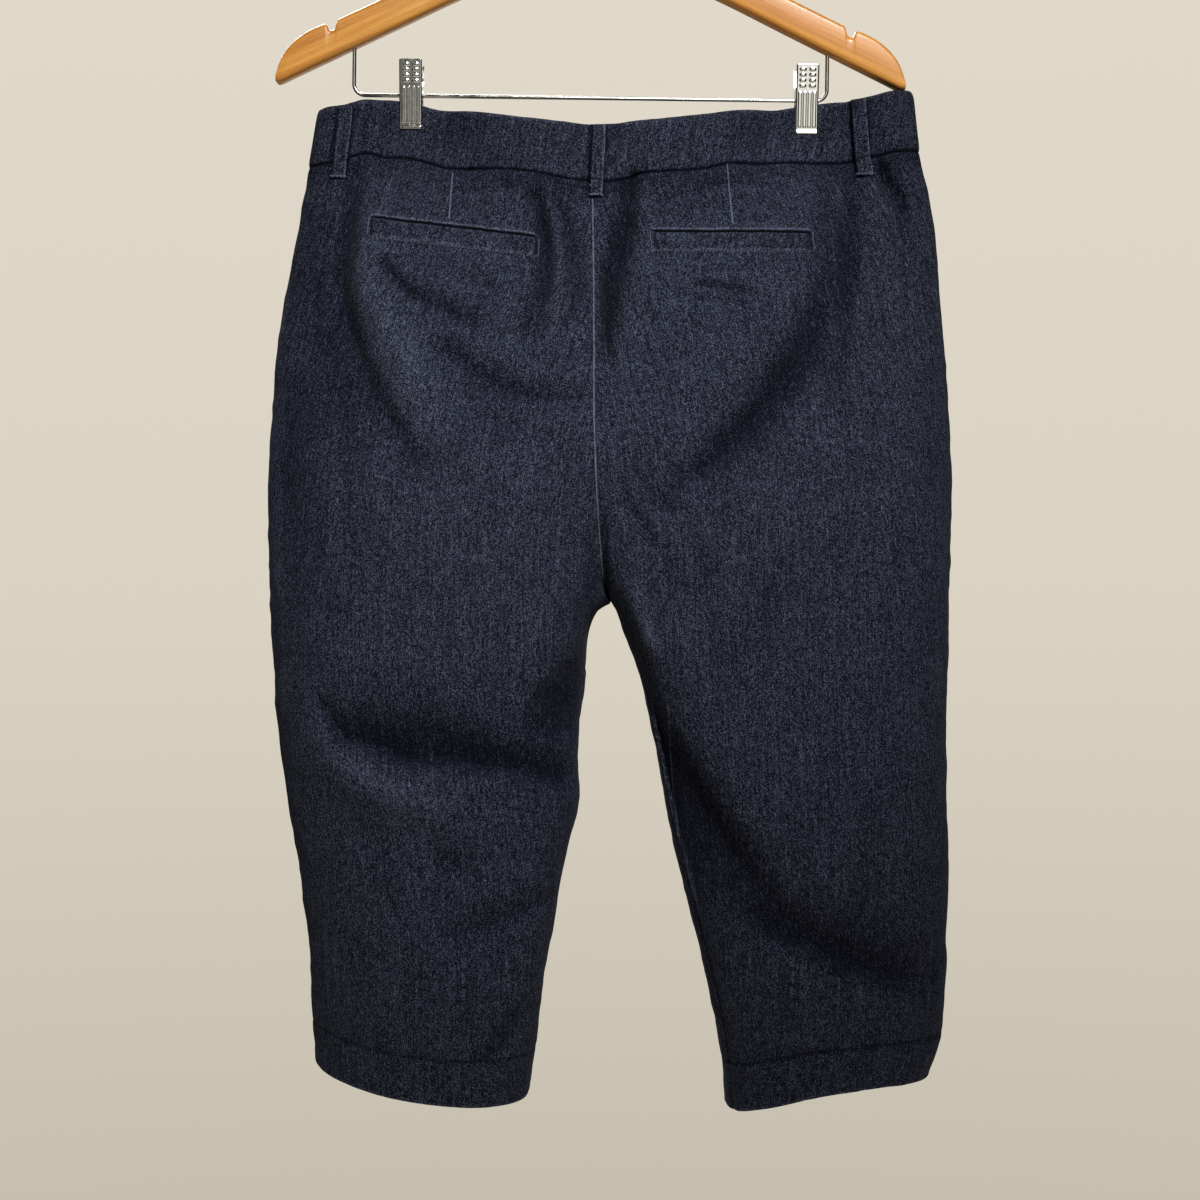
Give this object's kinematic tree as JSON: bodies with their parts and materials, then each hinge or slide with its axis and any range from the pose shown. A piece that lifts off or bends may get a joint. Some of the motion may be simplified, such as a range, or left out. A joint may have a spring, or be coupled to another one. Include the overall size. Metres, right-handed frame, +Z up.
{
  "type": "capri pants on a clip hanger",
  "caption": "Cropped denim trousers hung by the waistband from a wooden clip hanger, seat side forward.",
  "frame": {"origin": "where the rail touches the underside of the hook's top, the point that the hanger hangs from", "axes": "+Z up; -Y the side that shows the seat of the trousers; +Y the fly side; -X the wearer's left"},
  "size_m": [0.4818, 0.1286, 0.9126],
  "materials": {
    "denim": "dark indigo twill denim with paler flecks, matt",
    "zip_tape": "woven navy zip tape with a closed coil of teeth",
    "button_metal": "plain satin metal shank button",
    "varnished_wood": "warm orange-brown varnished beech",
    "chrome": "polished chrome-plated steel"
  },
  "bodies": {
    "root": {"back_left": "denim", "back_right": "denim", "front_left": "denim", "front_right": "denim", "waistband_back": "denim", "waistband_front_left": "denim", "waistband_front_right": "denim", "belt_loop_back_left": "denim", "belt_loop_back_centre": "denim", "belt_loop_back_right": "denim", "belt_loop_front_left": "denim", "belt_loop_front_right": "denim", "welt_left": "denim", "welt_right": "denim", "fly_zip": "zip_tape", "fly_shield": "denim", "waist_button": "button_metal", "hanger_arms": "varnished_wood", "hanger_hook": "chrome", "hanger_bar": "chrome", "clip_left_front": "chrome", "clip_left_rear": "chrome", "clip_left_spring": "chrome", "clip_right_front": "chrome", "clip_right_rear": "chrome", "clip_right_spring": "chrome"}
  },
  "joints": []
}
